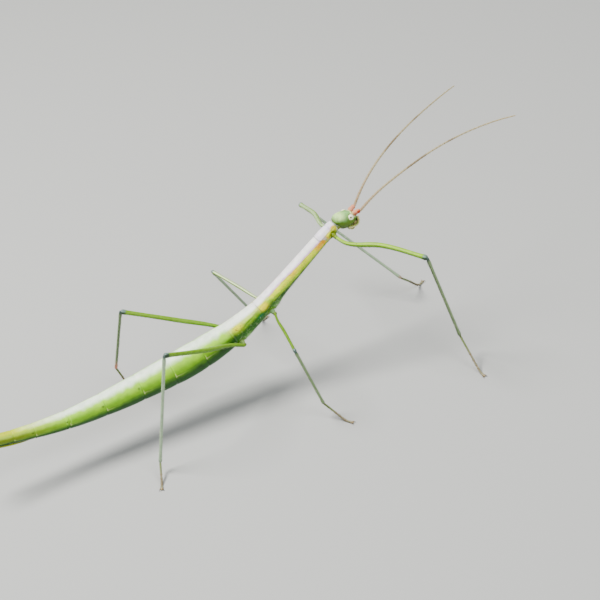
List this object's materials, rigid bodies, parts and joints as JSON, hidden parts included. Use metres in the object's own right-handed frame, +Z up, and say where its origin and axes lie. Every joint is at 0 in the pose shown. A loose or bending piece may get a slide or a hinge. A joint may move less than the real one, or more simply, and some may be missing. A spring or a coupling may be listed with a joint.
{
  "type": "stick insect",
  "caption": "Slender green wingless stick insect standing with raised forebody, long feelers and angled legs, a still life-size model in faceted pieces",
  "frame": {"origin": "on the floor under the middle of the model's box", "axes": "+Z up, the insect faces -Y, its right side is at -X, the tail points to +Y"},
  "size_m": [0.0546, 0.1358, 0.0504],
  "materials": {
    "head_cuticle": "satin, finely granular, pale grey-green",
    "eye": "glossy cream with a small dark spot",
    "antenna_base": "satin salmon red",
    "antenna": "satin straw brown with darker bands",
    "mouth": "satin olive",
    "palp": "satin cream",
    "thorax_cuticle": "waxy whitish back with yellow-orange side stripes over green",
    "abdomen_cuticle": "waxy green, whitish along the back, darker below",
    "tail_cuticle": "waxy yellow-olive",
    "femur_cuticle": "satin yellow-green with pale ridges and dark knees",
    "tibia_cuticle": "satin grey-green",
    "foot": "satin grey-brown"
  },
  "bodies": {
    "root": {"head": "head_cuticle", "eye_left": "eye", "eye_right": "eye", "antenna_base_left": "antenna_base", "antenna_left": "antenna", "antenna_base_right": "antenna_base", "antenna_right": "antenna", "mouthparts": "mouth", "palp_left": "palp", "palp_right": "palp", "prothorax": "thorax_cuticle", "mesothorax": "thorax_cuticle", "metathorax": "thorax_cuticle", "abdomen_2": "abdomen_cuticle", "abdomen_3": "abdomen_cuticle", "abdomen_4": "abdomen_cuticle", "abdomen_5": "abdomen_cuticle", "abdomen_6": "abdomen_cuticle", "abdomen_7": "abdomen_cuticle", "abdomen_8": "tail_cuticle", "abdomen_9": "tail_cuticle", "abdomen_10": "tail_cuticle", "subgenital_plate": "tail_cuticle", "cercus_left": "tail_cuticle", "cercus_right": "tail_cuticle", "right_front_coxa": "femur_cuticle", "right_front_femur": "femur_cuticle", "right_front_tibia": "tibia_cuticle", "right_front_tarsus": "foot", "right_mid_coxa": "femur_cuticle", "right_mid_femur": "femur_cuticle", "right_mid_tibia": "tibia_cuticle", "right_mid_tarsus": "foot", "right_hind_coxa": "femur_cuticle", "right_hind_femur": "femur_cuticle", "right_hind_tibia": "tibia_cuticle", "right_hind_tarsus": "foot", "left_front_coxa": "femur_cuticle", "left_front_femur": "femur_cuticle", "left_front_tibia": "tibia_cuticle", "left_front_tarsus": "foot", "left_mid_coxa": "femur_cuticle", "left_mid_femur": "femur_cuticle", "left_mid_tibia": "tibia_cuticle", "left_mid_tarsus": "foot", "left_hind_coxa": "femur_cuticle", "left_hind_femur": "femur_cuticle", "left_hind_tibia": "tibia_cuticle", "left_hind_tarsus": "foot"}
  },
  "joints": []
}
